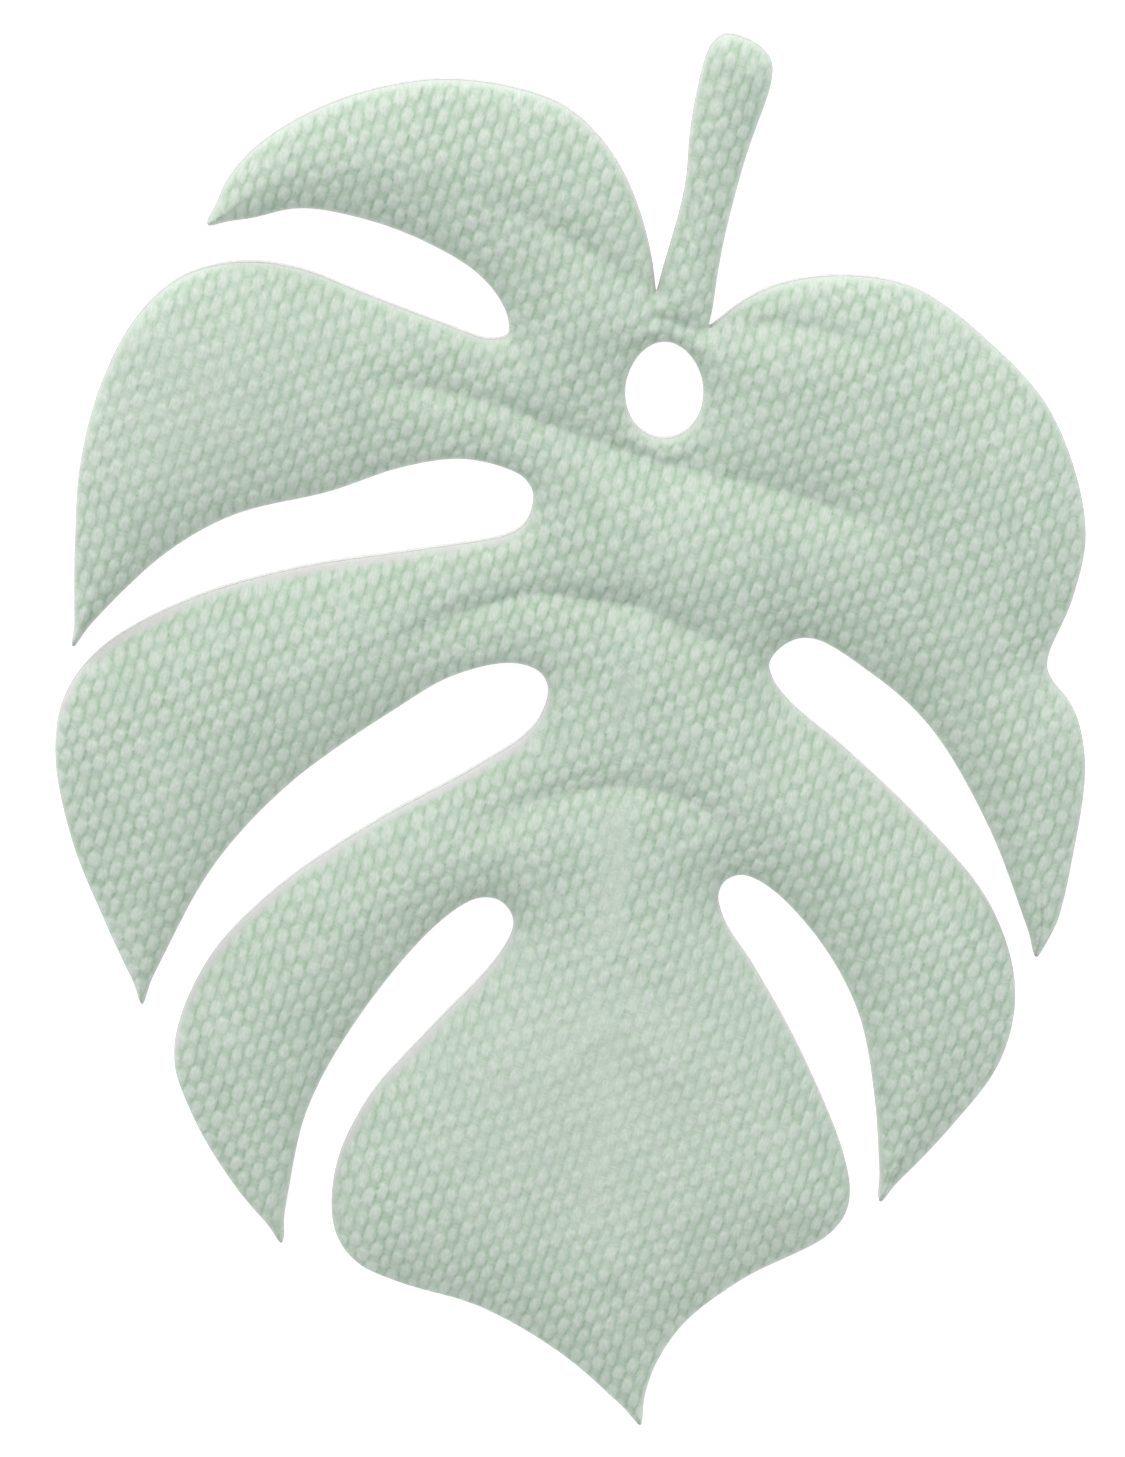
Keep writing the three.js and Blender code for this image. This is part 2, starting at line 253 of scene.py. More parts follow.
# The front rises in a crown with veins pressed into it.
crown = {
    "backThick": 1.0,        # mm, the flat back cover
    "edgeLow": 1.02,         # underside of the front cover's cut edge
    "clothThick": 0.72,
    "height": 3.35,          # rise of the front from its cut edge to the middle of a lobe
    "reach": 10.0,           # mm from the edge over which it rises
    "square": 2.0,           # 2 is a round pillow, more is flatter in the middle
    "steep": 1.7,            # 2 is upright at the edge, 1 is slanted
    "slack": 0.34,           # share by which the outer edges on the right are less steep
    "slackFrom": 10,         # mm to the right of the middle, where that begins
    "tighter": 0.12,         # share by which those on the left are steeper
    "tighterFrom": 16,       # mm to the left of the middle, where that begins
    "sideBlend": 14,         # mm over which either comes in
    "relax": 1.6,            # mm over which the crown is averaged, away from the edge
    "relaxFrom": 0.6,        # mm from the edge where the averaging begins
    "relaxBlend": 3.0,       # mm over which it comes in
    "creaseRound": 0.35,     # mm, rounding at the bottom of a vein
    "sideTurn": 0.8,         # mm across a vein over which one side gives way to the other
    "veinLost": 0.92,        # share of its depth that a vein has lost at its end
    "veinBlend": 3.2,        # mm from the cut edge over which the veins come in
    "veinFar": 24,           # mm from the middle of a vein, beyond which it isn't worked out
    "lumps": 0.06,           # mm of unevenness in the padding
    "lumpSize": 6.0,         # mm across one lump
    "smallLump": 2.6,        # mm across a small one on top of it
    "lumpBlend": 3.0,        # mm from the cut edge over which they come in
}

# Each vein is pressed in along a curve. x and y in mm; deep is its depth, wide its reach on the stalk side,
# soft the other side's reach as a share of that, and fade the share of its length over which it runs out.
veins = [
    {"deep": 0.9, "wide": 1.8, "soft": 1.1, "fade": 0.6,
     "path": [(5.2, 41.6), (2.5, 43.5), (-3.4, 47.0), (-9.8, 49.8)]},
    {"deep": 2.0, "wide": 2.8, "soft": 0.85, "fade": 0.35,
     "path": [(6.4, 25.8), (3.6, 26.5), (-1.4, 28.5), (-5, 30.0), (-10, 31.4), (-15, 32.3), (-20, 32.5)]},
    {"deep": 1.9, "wide": 1.9, "soft": 1.3, "fade": 0.45,
     "path": [(6, 12.7), (3.6, 13.1), (0.6, 13.4), (-2.5, 13.7), (-6.4, 12.9), (-9.8, 11.9),
              (-13.5, 10.3), (-17.4, 8.5)]},
    {"deep": 1.2, "wide": 1.7, "soft": 1.4, "fade": 0.5,
     "path": [(5.2, -3.2), (-0.9, -4.1), (-7, -6.8), (-12.2, -10.4)]},
    {"deep": 0.7, "wide": 1.0, "soft": 1.2, "fade": 0.4,
     "path": [(11.8, 37.7), (17.1, 37.7), (22.1, 37.0), (27.8, 35.4)]},
    {"deep": 1.8, "wide": 3.0, "soft": 0.9, "fade": 0.35,
     "path": [(6.8, 25.6), (11.2, 24.3), (16.2, 23.5), (21.2, 22.0), (25.2, 20.6), (28.5, 19.1)]},
    {"deep": 1.5, "wide": 2.0, "soft": 1.3, "fade": 0.6,
     "path": [(6, 12.7), (8.6, 11.4), (11.2, 10.3), (13.7, 9.3), (16.0, 8.6)]},
    {"deep": 1.0, "wide": 1.6, "soft": 1.4, "fade": 0.4,
     "path": [(5.2, -3.2), (9.6, -4.2), (12.4, -6.0), (13.6, -8.6)]},
    {"deep": 0.5, "wide": 1.0, "soft": 1.0, "fade": 0.4,
     "path": [(6.8, 25.3), (6, 15.6), (5, 4.9), (4.3, -5.9), (3.6, -17.7)]},
    {"deep": 1.0, "wide": 0.8, "soft": 1.0, "fade": 0.1,
     "path": [(7.4, 38.2), (9.8, 37.3), (12.0, 36.9)]},
]

# Low ridges stand up from the end lobe: a pair that spreads towards the tip, and a short one near it.
ridges = [
    {"deep": 0.3, "wide": 1.0, "soft": 1.5, "fade": 0.5,
     "path": [(3.2, -24.5), (0.2, -27.7), (-3.4, -31.4)]},
    {"deep": 0.3, "wide": 1.0, "soft": 1.5, "fade": 0.5,
     "path": [(5.9, -25.9), (8.4, -28.4), (11.2, -31.6)]},
    {"deep": 0.3, "wide": 0.9, "soft": 3.0, "fade": 0.5,
     "path": [(3.8, -46.2), (3.0, -47.6), (2.3, -48.8)]},
]


# Mean over a window of cells to both sides: the running total at its end less that at its start.
def boxed(values, cells):
    for axis in (0, 1):
        around = [(cells + 1, cells) if k == axis else (0, 0) for k in (0, 1)]
        total = np.cumsum(np.pad(values, around, mode="edge"), axis)
        span, start = 2 * cells + 1, np.arange(values.shape[axis])
        values = (np.take(total, start + span, axis) - np.take(total, start, axis)) / span
    return values


# Three means over, which comes close to a bell curve; cells off the leaf don't count.
def averaged(values, weight, cells):
    top, bottom = values * weight, weight.astype(float)
    for _ in range(3):
        top, bottom = boxed(top, cells), boxed(bottom, cells)
    return top / np.maximum(bottom, 1e-6)


def smoothStep(x):
    x = np.clip(x, 0, 1)
    return x * x * (3 - 2 * x)


# Smooth chance values: random numbers on a coarse grid, blended between with a smooth step.
def evenNoise(u, v, seed):
    table = np.random.default_rng(seed).uniform(-1, 1, (512, 512))
    iu, iv = np.floor(u).astype(int), np.floor(v).astype(int)
    fu, fv = smoothStep(u - iu), smoothStep(v - iv)
    low = table[iu % 512, iv % 512] * (1 - fu) + table[(iu + 1) % 512, iv % 512] * fu
    high = table[iu % 512, (iv + 1) % 512] * (1 - fu) + table[(iu + 1) % 512, (iv + 1) % 512] * fu
    return low * (1 - fv) + high * fv


def smoothPath(points, spacing=0.8):            # a curve through given points, about evenly spaced
    points = np.array(points, float)
    padded = np.concatenate([[2 * points[0] - points[1]], points, [2 * points[-1] - points[-2]]])
    p0, p1, p2, p3 = (padded[k:len(padded) - 3 + k, None] for k in range(4))
    s = (np.arange(24) / 24)[None, :, None]
    squared = (2 * p0 - 5 * p1 + 4 * p2 - p3) * s**2
    cubed = (3 * p1 - p0 - 3 * p2 + p3) * s**3
    curve = 0.5 * (2 * p1 + (p2 - p0) * s + squared + cubed)
    curve = np.concatenate([curve.reshape(-1, 2), points[-1:]])
    length = np.concatenate([[0], np.cumsum(np.linalg.norm(np.diff(curve, axis=0), axis=1))])
    at = np.linspace(0, length[-1], max(3, int(length[-1] / spacing) + 1))
    return np.stack([np.interp(at, length, curve[:, k]) for k in (0, 1)], 1)


# Depth of one groove: it falls off from a rounded crease, at each side's own rate, and fades out towards
# its end.
def groove(points, vein):
    path = smoothPath(vein["path"])
    a, run = path[:-1], np.diff(path, axis=0)
    best, place, side = np.full(len(points), np.inf), np.zeros(len(points)), np.zeros(len(points))
    for k in range(len(a)):
        share = np.clip(((points - a[k]) @ run[k]) / (run[k] @ run[k]), 0, 1)
        away = points - a[k] - share[:, None] * run[k]
        d = np.linalg.norm(away, axis=1)
        closer = d < best
        best[closer] = d[closer]
        place[closer] = (k + share[closer]) / len(a)
        side[closer] = away[closer, 1]
    above = smoothStep(side / crown["sideTurn"] + 0.5)
    wide = vein["wide"] * (above + (1 - above) * vein["soft"])
    fade = 1 - crown["veinLost"] * smoothStep((place - 1 + vein["fade"]) / vein["fade"])
    crease = crown["creaseRound"]
    return vein["deep"] * fade * np.exp(-(np.sqrt(best**2 + crease**2) - crease) / wide)


# The front rises from its edge like a quarter of a squared-off ellipse, averaged a little further in.
def crownHeight():
    x, facing = plan[..., 0], outwardOnGrid()[..., 0]
    right = smoothStep((x - crown["slackFrom"]) / crown["sideBlend"]) * smoothStep(facing * 2)
    left = smoothStep((-x - crown["tighterFrom"]) / crown["sideBlend"]) * smoothStep(-facing * 2)
    slack = crown["slack"] * right - crown["tighter"] * left
    across = 1 - np.clip(fromEdge / crown["reach"], 0, 1)
    rise = (1 - across ** crown["square"]) ** (1 / (crown["steep"] * (1 - slack)))
    halfWindow = crown["relax"] / 1.7            # three means of this make that width
    relaxed = averaged(rise, within, int(halfWindow / cell))
    rise = rise + (relaxed - rise) * smoothStep((fromEdge - crown["relaxFrom"]) / crown["relaxBlend"])
    height = np.zeros(gridShape)
    points, deepest = plan[near], np.zeros(int(near.sum()))
    for vein in veins:
        close = np.abs(points - np.mean(vein["path"], 0)).max(1) < crown["veinFar"]
        deepest[close] = np.maximum(deepest[close], groove(points[close], vein))
    raised = np.max([groove(points, ridge) for ridge in ridges], 0)
    x, y = points.T
    large, small = crown["lumpSize"], crown["smallLump"]
    lumps = evenNoise(x / large, y / large, 4) + 0.5 * evenNoise(x / small, y / small, 5)
    full = np.clip(fromEdge[near] / crown["lumpBlend"], 0, 1)
    pressed = deepest * smoothStep(fromEdge[near] / crown["veinBlend"] + 0.15)
    height[near] = crown["height"] * rise[near] - pressed + raised + crown["lumps"] * lumps * full
    return np.maximum(height, 0)


bodyRise = crownHeight()
print("leaf: crown up to", round(float(bodyRise[within].max()), 2), "mm")


# Two sets of threads that cross. Each thread is a half ellipse across and a flattened wave along, up at
# every other crossing; the higher of the two shows. Each noise has the size of its patches in threads,
# across and along, and a number of its own. Returns the height in mm, 1 where the warp is on top, and how
# deep in a gap the surface lies, from 0 on a crest to 1 at the bottom, which sets the shade painted there.
def weaveRelief(u, v):
    sideways = weave["wander"] * (evenNoise(u / 5, v / 5, 11) + 0.5 * evenNoise(u / 1.3, v / 2.1, 12))
    endways = weave["wander"] * (evenNoise(u / 5, v / 5, 13) + 0.7 * evenNoise(u / 1.7, v / 1.5, 14))
    u, v = u + sideways, v + endways
    warp, weft = np.round(u), np.round(v)
    warpFat = 1 + weave["slub"] * evenNoise(warp * 7.31, v / 1.4, 15)
    weftFat = 1 + weave["slub"] * evenNoise(u / 1.4, weft * 7.31, 16)
    across = np.clip(np.abs(u - warp) / (weave["warpWidth"] * warpFat), 0, 1)
    acrossWeft = np.clip(np.abs(v - weft) / (weave["weftWidth"] * weftFat), 0, 1)
    jitter = 1 + weave["uneven"] * evenNoise(u / 1.1, v / 1.6, 17)
    warpWave = flattened(np.cos(np.pi * (v + warp)) + weave["longer"]) * jitter
    weftWave = flattened(np.cos(np.pi * (u + weft)) + weave["longer"])
    warpRound = weave["warpThick"] * warpFat * np.sqrt(1 - across**2)
    weftRound = weave["weftThick"] * weftFat * np.sqrt(1 - acrossWeft**2)
    warpTop = weave["warpLift"] + weave["warpRise"] * warpWave + warpRound
    weftTop = weftRound - weave["weftRise"] * weftWave
    merge = weave["merge"]
    high = np.logaddexp(warpTop / merge, weftTop / merge) * merge
    onTop = smoothStep((warpTop - weftTop) / weave["toneMerge"] + 0.5)
    crest = weave["warpLift"] + weave["warpRise"] + weave["warpThick"]
    low = weave["weftThick"] * weave["gapFloor"]
    return high - crest, onTop, np.clip((crest - high) / (crest - low), 0, 1)


def flattened(wave):
    return np.tanh(weave["flatTop"] * wave) / np.tanh(weave["flatTop"])


relief, warpOnTop, gap = weaveRelief(threads[..., 0], threads[..., 1])
print("leaf: weave relief", round(float(np.ptp(relief)), 2), "mm deep")


# A mesh from places in mm and faces as index arrays of 3 or 4 columns; the first arrays, as many as smooth
# says, are shaded smooth.
def newPiece(name, places, faces, material, smooth):
    mesh = bpy.data.meshes.new(name)
    sizes = np.concatenate([np.full(len(f), f.shape[1]) for f in faces if len(f)])
    corners = np.concatenate([f.ravel() for f in faces if len(f)]).astype(np.int32)
    mesh.vertices.add(len(places))
    mesh.vertices.foreach_set("co", (places * mm).astype(np.float32).ravel())
    mesh.loops.add(len(corners))
    mesh.loops.foreach_set("vertex_index", corners)
    mesh.polygons.add(len(sizes))
    starts = np.concatenate([[0], np.cumsum(sizes)[:-1]])
    mesh.polygons.foreach_set("loop_start", starts.astype(np.int32))
    rounded = np.concatenate([np.full(len(f), k < smooth) for k, f in enumerate(faces) if len(f)])
    mesh.polygons.foreach_set("use_smooth", rounded)
    mesh.update(calc_edges=True)
    mesh.validate()
    mesh.materials.append(material)
    piece = bpy.data.objects.new(name, mesh)
    bpy.context.scene.collection.objects.link(piece)
    return piece


def pointAttribute(piece, name, values):
    piece.data.attributes.new(name, "FLOAT", "POINT").data.foreach_set("value", values.astype(np.float32))


# Fills closed edges with triangles, on their own points and a lattice of further ones inside them. A hole
# comes out filled too, and the triangles inside it are dropped.
def coarseFill(rim, edges, spacing):
    low, high = rim.min(0), rim.max(0)
    clear = spacing * 0.6                       # no lattice point is closer to the rim than this
    rows = np.arange(low[1], high[1], spacing * 0.87)
    grid = np.stack(np.meshgrid(np.arange(low[0], high[0], spacing), rows, indexing="ij"), -1)
    grid[:, 1::2, 0] += spacing / 2
    grid = grid.reshape(-1, 2)
    grid = grid[sampled(fromEdge, grid) > clear]
    grid = grid[nearestRim(grid, rim) > clear]
    holes = [rim[loop] for loop in followEdges(edges)[1:]]
    for hole in holes:
        grid = grid[~insideLoop(grid, hole)]
    points = np.concatenate([rim, grid])
    made = delaunay_2d_cdt([Vector(p) for p in points], edges.tolist(), [], 1, 1e-7)
    points, triangles = np.array(made[0]), np.array(made[2])
    for hole in holes:
        triangles = triangles[~insideLoop(points[triangles].mean(1), hole)]
    return points, triangles


# A point is inside where a line from it to the right crosses the loop an odd number of times.
def insideLoop(points, loop):
    after = np.roll(loop, -1, 0)
    x, y = points[:, 0, None], points[:, 1, None]
    spans = (loop[:, 1] > y) != (after[:, 1] > y)
    rise = np.where(after[:, 1] == loop[:, 1], 1, after[:, 1] - loop[:, 1])
    crossing = loop[:, 0] + (y - loop[:, 1]) / rise * (after[:, 0] - loop[:, 0])
    return (spans & (crossing > x)).sum(1) % 2 == 1


def nearestRim(points, rim):                    # how far each point is from the nearest rim point
    batch = 1024                                # points compared at a time
    table = np.concatenate([-2 * rim, (rim**2).sum(1)[:, None]], 1).T
    parts = np.array_split(points, len(points) // batch + 1)
    best = [(part @ table[:2] + table[2]).min(1) for part in parts]
    return np.sqrt(np.maximum(np.concatenate(best) + (points**2).sum(1), 0))


def sampled(values, points):                    # a grid's values at any place, blended between its points
    at = (points @ toThreads - threadLow) * weave["samples"]
    at = np.clip(at, 0, np.array(gridShape) - 1.001)
    i, j = np.floor(at).astype(int).T
    fi, fj = (at - np.floor(at)).T
    low = values[i, j] * (1 - fi) + values[i + 1, j] * fi
    high = values[i, j + 1] * (1 - fi) + values[i + 1, j + 1] * fi
    return low * (1 - fj) + high * fj


coverLook = {
    "ledge": 0.02,           # mm that the back cover stands out beyond the front one
    "snapWithin": 0.52,      # cells; a grid point this close to the cut edge moves onto it
    "leastFace": 0.06,       # cells of area; a smaller face is left out
    "weldBelow": 0.25,       # cells; the two ends of a shorter rim side become one
    "pinchRounds": 6,        # times that pinched points are looked for
    "wallRings": 3,
    "underSpacing": 1.6,     # mm between points of the hidden underside
    "edgeRelief": 0.12,      # how far the relief has come in at the cut edge itself
    "pressedSink": 0.12,     # mm that pressed or rubbed cloth lies below the threads' crests
    "pressedGap": 0.12,      # how deep in a gap it counts as, for its painted gap shade
    "palerGaps": 0.4,        # share by which the painted gap shade is weaker in the paler spots
    "wallTone": 0.5,         # wall and underside: halfway between warp and weft, and between crest colour and painted gap shade
    "wallGrey": 0.6,         # how grey they are
}


# Grid points close to the cut edge are moved onto it, and the cells with all corners on the leaf are kept.
def trimmedGrid(ledge):
    inside = fromEdge - ledge
    inward = -outwardOnGrid()
    snapped = near & (np.abs(inside) < coverLook["snapWithin"] * cell)
    places = np.where(snapped[..., None], plan - inward * inside[..., None], plan)
    kept = snapped | (near & (inside > 0))
    numbers = np.arange(kept.size).reshape(gridShape)
    square = [numbers[:-1, :-1], numbers[1:, :-1], numbers[1:, 1:], numbers[:-1, 1:]]
    holds = np.stack([kept.ravel()[part] for part in square])
    quads = np.stack(square, -1)[holds.all(0)]
    threes = []
    for missing in range(4):
        rest = [(missing + k) % 4 for k in (1, 2, 3)]
        only = ~holds[missing] & holds[rest].all(0)
        threes.append(np.stack([square[k] for k in rest], -1)[only])
    triangles = np.concatenate(threes)
    flat = places.reshape(-1, 2)
    least = coverLook["leastFace"] * cell**2
    quads = quads[area(flat, quads) > least]
    triangles = triangles[area(flat, triangles) > least]
    return flat, snapped.ravel(), quads, triangles


def rimOf(quads, triangles, size):              # directed sides that no other face shares
    corners = np.concatenate([quads, np.column_stack([triangles, triangles[:, 0]])])
    sides = np.concatenate([corners[:, [k, (k + 1) % 4]] for k in range(4)])
    sides = sides[sides[:, 0] != sides[:, 1]]
    return sides[~np.isin(sides[:, 0] * size + sides[:, 1], sides[:, 1] * size + sides[:, 0])]


# Joins the two ends of every rim side that is far shorter than a cell; a face that loses a corner becomes
# a triangle, and one that loses two goes.
def weldedRim(flat, quads, triangles):
    rim = rimOf(quads, triangles, len(flat))
    length = np.linalg.norm(flat[rim[:, 0]] - flat[rim[:, 1]], axis=1)
    short = rim[length < coverLook["weldBelow"] * cell]
    joined = np.arange(len(flat))
    joined[short[:, 1]] = short[:, 0]
    joined = joined[joined]
    quads, triangles = joined[quads], joined[triangles]
    same = quads == np.roll(quads, -1, 1)
    made = [np.stack([quads[:, (k + j) % 4] for j in (1, 2, 3)], 1)[same[:, k]] for k in range(4)]
    triangles = np.concatenate([triangles] + made)
    triangles = triangles[(triangles != np.roll(triangles, -1, 1)).all(1)]
    return quads[~same.any(1)], triangles


# Where the rim runs twice through one point, the faces round that point are dropped.
def withoutPinches(quads, triangles, size):
    for _ in range(coverLook["pinchRounds"]):
        count = np.bincount(rimOf(quads, triangles, size)[:, 0], minlength=size)
        pinched = np.flatnonzero(count > 1)
        quads = quads[~np.isin(quads, pinched).any(1)]
        triangles = triangles[~np.isin(triangles, pinched).any(1)]
    return quads, triangles


def area(flat, faces):                          # signed area of faces of three or four corners
    p = flat[faces]
    q = np.roll(p, -1, 1)
    return (p[..., 0] * q[..., 1] - p[..., 1] * q[..., 0]).sum(1) / 2


greyLook = {
    "reach": 0.75,           # mm from the cut edge over which it turns grey, at most
    "leftOf": 16,            # x in mm where the grey begins, going left
    "leftBlend": 22,         # mm over which it comes in
    "below": 34,             # y in mm where it begins, going down
    "belowBlend": 18,
    "elsewhere": 0.08,       # share of it on the stalk side of the other lobes
    "everywhere": 0.1,       # grey of every edge
    "patchSize": 2.1,        # mm
}


# How much the pressed edge has turned grey: most on the stalk side of the lobes at the lower left.
def greyness():
    x, y = plan[..., 0], plan[..., 1]
    outward = outwardOnGrid()
    towardsStalk = smoothStep((outward[..., 1] - 0.1 * outward[..., 0] + 0.1) / 0.5)
    lowerLeft = smoothStep((greyLook["leftOf"] - x) / greyLook["leftBlend"])
    lowerLeft = lowerLeft * smoothStep((greyLook["below"] - y) / greyLook["belowBlend"])
    patch = 0.75 + 0.5 * evenNoise(x / greyLook["patchSize"], y / greyLook["patchSize"], 21)
    share = greyLook["elsewhere"] + (1 - greyLook["elsewhere"]) * lowerLeft
    amount = np.clip(towardsStalk * share * patch + greyLook["everywhere"], 0, 1)
    reach = greyLook["reach"] * (0.35 + 0.65 * amount)
    return amount * (1 - smoothStep(fromEdge / reach))


rubbed = {
    "middleAt": 4.5,         # x in mm of the rubbed line where y is 0
    "middleLean": 0.052,     # mm that it goes to the right for each mm of y
    "middleWide": 1.3,       # mm
    "middleMost": 0.55,      # share of the relief that is rubbed off along it
    "veeTop": -21.5,         # y in mm where the pair of ridges parts
    "veeSpread": 0.85,       # mm sideways for each mm further down
    "veeWide": 1.3,          # mm
    "veeMost": 0.9,
    "most": 0.8,             # never more than this
}


# The weave is rubbed smooth in patches along the leaf's middle and on its low ridges.
def smudge():
    x, y = plan[..., 0], plan[..., 1]
    patch = smoothStep(0.3 + 1.2 * evenNoise(x / 1.8, y / 3.2, 31))
    aside = (x - (rubbed["middleAt"] + rubbed["middleLean"] * y)) / rubbed["middleWide"]
    inLine = np.exp(-(aside**2)) * smoothStep((y + 50) / 6) * smoothStep((24 - y) / 4)
    below = np.maximum(rubbed["veeTop"] - y, 0)
    aside = (np.abs(x - rubbed["middleAt"]) - rubbed["veeSpread"] * below) / rubbed["veeWide"]
    inVee = np.exp(-(aside**2)) * (below > 0) * smoothStep((y + 32) / 3)
    return np.clip(patch * (rubbed["middleMost"] * inLine + rubbed["veeMost"] * inVee), 0, rubbed["most"])


# Spots where the gaps get less painted shade, so the cloth comes out paler: middle and half width in mm,
# and how much less.
palerSpots = [
    {"x": 3, "y": -31, "wide": 15, "high": 14, "share": 1.0},     # the end lobe
    {"x": -33, "y": 32, "wide": 10, "high": 9, "share": 0.7},     # the upper left lobe
]


def paler():
    x, y = plan[..., 0], plan[..., 1]
    total = np.zeros(gridShape)
    for spot in palerSpots:
        across, along = (x - spot["x"]) / spot["wide"], (y - spot["y"]) / spot["high"]
        total += spot["share"] * np.exp(-(across**2) - along**2)
    return np.clip(total, 0, 1)


# The front cover: crown and weave relief above, a cut wall round the edge, and a plain underside.
def frontCover(material):
    ledge = coverLook["ledge"]
    flat, snapped, quads, triangles = trimmedGrid(ledge)
    quads, triangles = weldedRim(flat, quads, triangles)
    quads, triangles = withoutPinches(quads, triangles, len(flat))
    used = np.unique(np.concatenate([quads.ravel(), triangles.ravel()]))
    renumber = np.full(len(flat), -1)
    renumber[used] = np.arange(len(used))
    quads, triangles = renumber[quads], renumber[triangles]
    depth = np.where(snapped, 0, np.clip((fromEdge - ledge).ravel(), 0, 99))[used]
    pressed = smoothStep(depth / weave["edgeFlat"] + coverLook["edgeRelief"])
    pressed = pressed * (1 - smudge().ravel()[used])
    body = crown["edgeLow"] + crown["clothThick"] + bodyRise.ravel()[used] * np.where(snapped[used], 0, 1)
    height = body + relief.ravel()[used] * pressed - coverLook["pressedSink"] * (1 - pressed)
    top = np.column_stack([flat[used], height])
    size = len(used)
    rim = rimOf(quads, triangles, size)
    ids = np.unique(rim)
    order = np.full(size, -1)
    order[ids] = np.arange(len(ids))
    rings, faces = [], [quads, triangles]
    above = ids
    for ring in range(1, coverLook["wallRings"] + 1):
        share = ring / coverLook["wallRings"]
        low = top[ids].copy()
        low[:, 2] = top[ids][:, 2] * (1 - share) + crown["edgeLow"] * share
        rings.append(low)
        here = size + (ring - 1) * len(ids) + np.arange(len(ids))
        a, b = order[rim[:, 0]], order[rim[:, 1]]
        faces.append(np.stack([above[b], above[a], here[a], here[b]], 1))
        above = here
    outline = top[ids][:, :2]
    edges = np.stack([order[rim[:, 0]], order[rim[:, 1]]], 1)
    points, under = coarseFill(outline, edges, coverLook["underSpacing"])
    rise = sampled(bodyRise, points)
    rise[:len(ids)] = 0
    inner = np.column_stack([points, crown["edgeLow"] + rise])
    start = size + (coverLook["wallRings"] - 1) * len(ids)
    places = np.concatenate([top] + rings + [inner[len(ids):]])
    faces.append(under[:, ::-1] + start)
    piece = newPiece("frontCover", places, faces, material, len(faces) - 1)
    # Painted shade in the gaps between threads: the deeper a point lies in a gap, the darker its colour.
    gapShade = gap.ravel()[used] * pressed * (1 - coverLook["palerGaps"] * paler().ravel()[used])
    gapShade = gapShade + coverLook["pressedGap"] * (1 - pressed)
    for attribute, values, rest in (
        ("warpOnTop", warpOnTop.ravel()[used], coverLook["wallTone"]),
        ("gapShadeDepth", gapShade, coverLook["wallTone"]),
        ("cutEdge", greyness().ravel()[used], coverLook["wallGrey"]),
    ):
        pointAttribute(piece, attribute, np.concatenate([values, np.full(len(places) - size, rest)]))
    flatMap(piece, "threads", places[:, :2] @ toThreads)
    return piece


def flatMap(piece, name, uv):
    layer = piece.data.uv_layers.new(name=name)
    corners = np.empty(len(piece.data.loops), np.int32)
    piece.data.loops.foreach_get("vertex_index", corners)
    layer.uv.foreach_set("vector", uv[corners].astype(np.float32).ravel())


clothLook = {
    "crest": (0.588, 0.668, 0.598),     # pale mint where a thread stands up
    "flank": (0.496, 0.606, 0.504),
    "gap": (0.308, 0.432, 0.314),       # dark green between threads: the weft's own green, darkened with painted shade in the gaps
    "cutEdge": (0.610, 0.590, 0.610),
    "rough": 0.92,
    "sheen": 0.35,
    "sheenRough": 0.45,
    "shine": 0.15,
    "twist": 18,                        # degrees that a yarn's fibres are turned
    "fibresAcross": 5.5,                # how fine they are, in each thread's width
    "fibresAlong": 2.0,
    "fibreBump": 0.00006,               # m
    "fibreTone": 0.12,                  # share by which fibres are lighter and darker
    "patchScale": 160.0,                # patches to the metre
    "patchTone": 0.015,
}
feltLook = {
    "turns": (30, -55),                 # degrees of the two sets of matted fibres
    "stretches": (0.35, 0.4),           # their fineness along, as a share of that across
    "detail": 6.0,
    "contrast": (0.38, 0.62),           # fibre values that come out darkest and lightest
    "rough": 0.96,
    "shine": 0.1,
    "sheen": 0.25,
}
backLook = {
    "light": (0.700, 0.690, 0.700),
    "dark": (0.600, 0.590, 0.602),
    "fineness": 2600.0,                 # fibres to the metre
    "bump": 0.00012,                    # m
}
fillingLook = {
    "light": (0.86, 0.85, 0.80),
    "dark": (0.70, 0.69, 0.65),
    "fineness": 900.0,
    "bump": 0.0003,
}


def newMaterial(name):
    material = bpy.data.materials.new(name)
    material.use_nodes = True
    tree = material.node_tree
    return material, tree, tree.nodes["Principled BSDF"]


def node(tree, kind, **settings):
    made = tree.nodes.new(kind)
    for key, value in settings.items():
        setattr(made, key, value)
    return made


def mixColour(tree, factor, a, b):
    mix = node(tree, "ShaderNodeMix", data_type="RGBA")
    for socket, value in ((mix.inputs["Factor"], factor), (mix.inputs[6], a), (mix.inputs[7], b)):
        if isinstance(value, tuple):
            socket.default_value = (*value, 1)
        elif isinstance(value, (int, float)):
            socket.default_value = value
        else:
            tree.links.new(value, socket)
    return mix.outputs[2]


def ranged(tree, value, low, high, toLow=0.0, toHigh=1.0):
    made = node(tree, "ShaderNodeMapRange")
    tree.links.new(value, made.inputs["Value"])
    for name, number in (("From Min", low), ("From Max", high), ("To Min", toLow), ("To Max", toHigh)):
        made.inputs[name].default_value = number
    return made.outputs["Result"]


def arith(tree, kind, a, b):
    made = node(tree, "ShaderNodeMath", operation=kind)
    for socket, value in ((made.inputs[0], a), (made.inputs[1], b)):
        if isinstance(value, (int, float)):
            socket.default_value = value
        else:
            tree.links.new(value, socket)
    return made.outputs[0]


